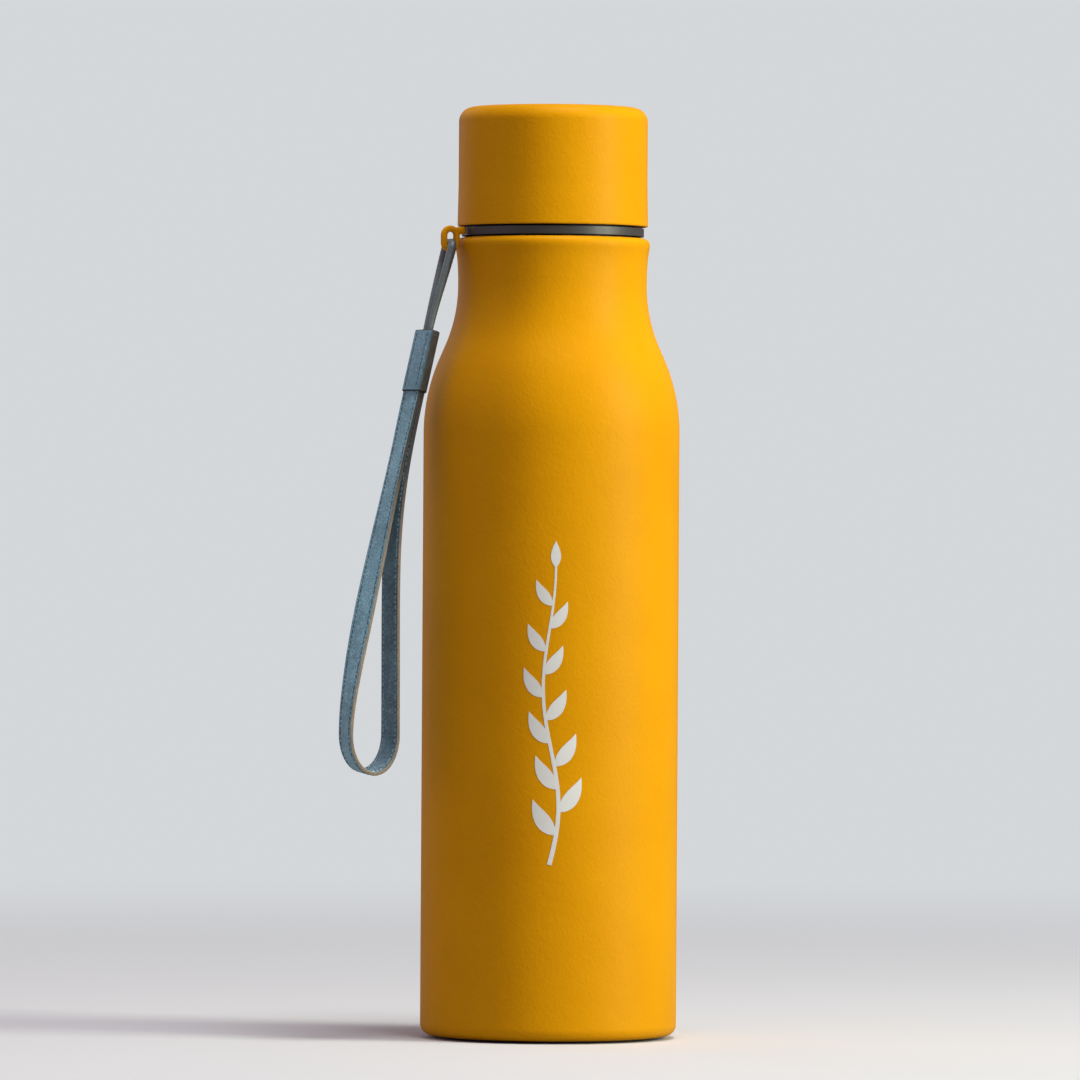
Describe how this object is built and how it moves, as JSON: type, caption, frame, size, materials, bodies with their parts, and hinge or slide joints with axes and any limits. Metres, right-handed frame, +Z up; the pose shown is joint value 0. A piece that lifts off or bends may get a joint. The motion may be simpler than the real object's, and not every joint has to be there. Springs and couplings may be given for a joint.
{
  "type": "kids insulated water bottle",
  "caption": "Upright round insulated steel drinking bottle with a screw cap, a swivel collar and a leather wrist strap on a cord.",
  "frame": {"origin": "middle of the flat face the bottle rests on", "axes": "+Z up the bottle's centre line, towards the cap; the wrist strap hangs on the -X side, turned a little towards -Y"},
  "size_m": [0.0895, 0.068, 0.2468],
  "materials": {
    "yellow_coat": "fine pebbled powder coat",
    "liner_steel": "brushed and electropolished",
    "copper_foil": "bright copper foil",
    "base_steel": "brushed",
    "pad_silicone": "matte silicone",
    "seal_solder": "dull solder",
    "getter_metal": "sintered",
    "gasket_silicone": "food-grade silicone",
    "insert_plastic": "moulded polypropylene",
    "cap_foam": "rigid foam",
    "collar_plastic": "satin moulded",
    "eye_plastic": "satin coat",
    "cord_braid": "tight nylon braid",
    "crimp_steel": "bright",
    "strap_face": "grained, semi-gloss",
    "strap_lining": "matte"
  },
  "bodies": {
    "root": {"outer_shell": "yellow_coat", "inner_liner": "liner_steel", "inner_base": "liner_steel", "reflective_foil": "copper_foil", "outer_base": "base_steel", "base_pad": "pad_silicone", "vacuum_seal": "seal_solder", "getter_pellet": "getter_metal"},
    "cap_carrier": {"cap_gasket": "gasket_silicone"},
    "cap": {"cap_cover": "yellow_coat", "cap_insert": "insert_plastic", "cap_foam": "cap_foam"},
    "collar": {"collar_ring": "collar_plastic", "strap_eye": "eye_plastic"},
    "strap_link": {"strap_cord": "cord_braid"},
    "wrist_strap": {"cord_crimp": "crimp_steel", "keeper_sleeve": "strap_face", "strap_outer": "strap_face", "strap_lining": "strap_lining"}
  },
  "joints": [
    {"name": "cap_lift", "type": "slide", "parent": "root", "child": "cap_carrier", "axis": [0, 0, 1], "range_m": [0, 0.01626]},
    {"name": "cap_turn", "type": "hinge", "parent": "cap_carrier", "child": "cap", "pos_m": [0, 0, 0.2152], "axis": [0, 0, 1], "range_deg": [0, 1170]},
    {"name": "collar_swivel", "type": "hinge", "parent": "root", "child": "collar", "pos_m": [0, 0, 0.2126], "axis": [0, 0, 1], "continuous": true},
    {"name": "strap_swing", "type": "hinge", "parent": "collar", "child": "strap_link", "pos_m": [-0.02711, -0.00987, 0.2105], "axis": [-0.342, 0.9397, 0], "range_deg": [-4, 110]},
    {"name": "strap_sway", "type": "hinge", "parent": "strap_link", "child": "wrist_strap", "pos_m": [-0.03266, -0.01414, 0.18797], "axis": [-0.7724, -0.58, 0.2588], "range_deg": [-30, 30]}
  ],
  "couplings": [
    {"joint": "cap_lift", "follows": "cap_turn", "m_per_rad": 0.00079577}
  ]
}
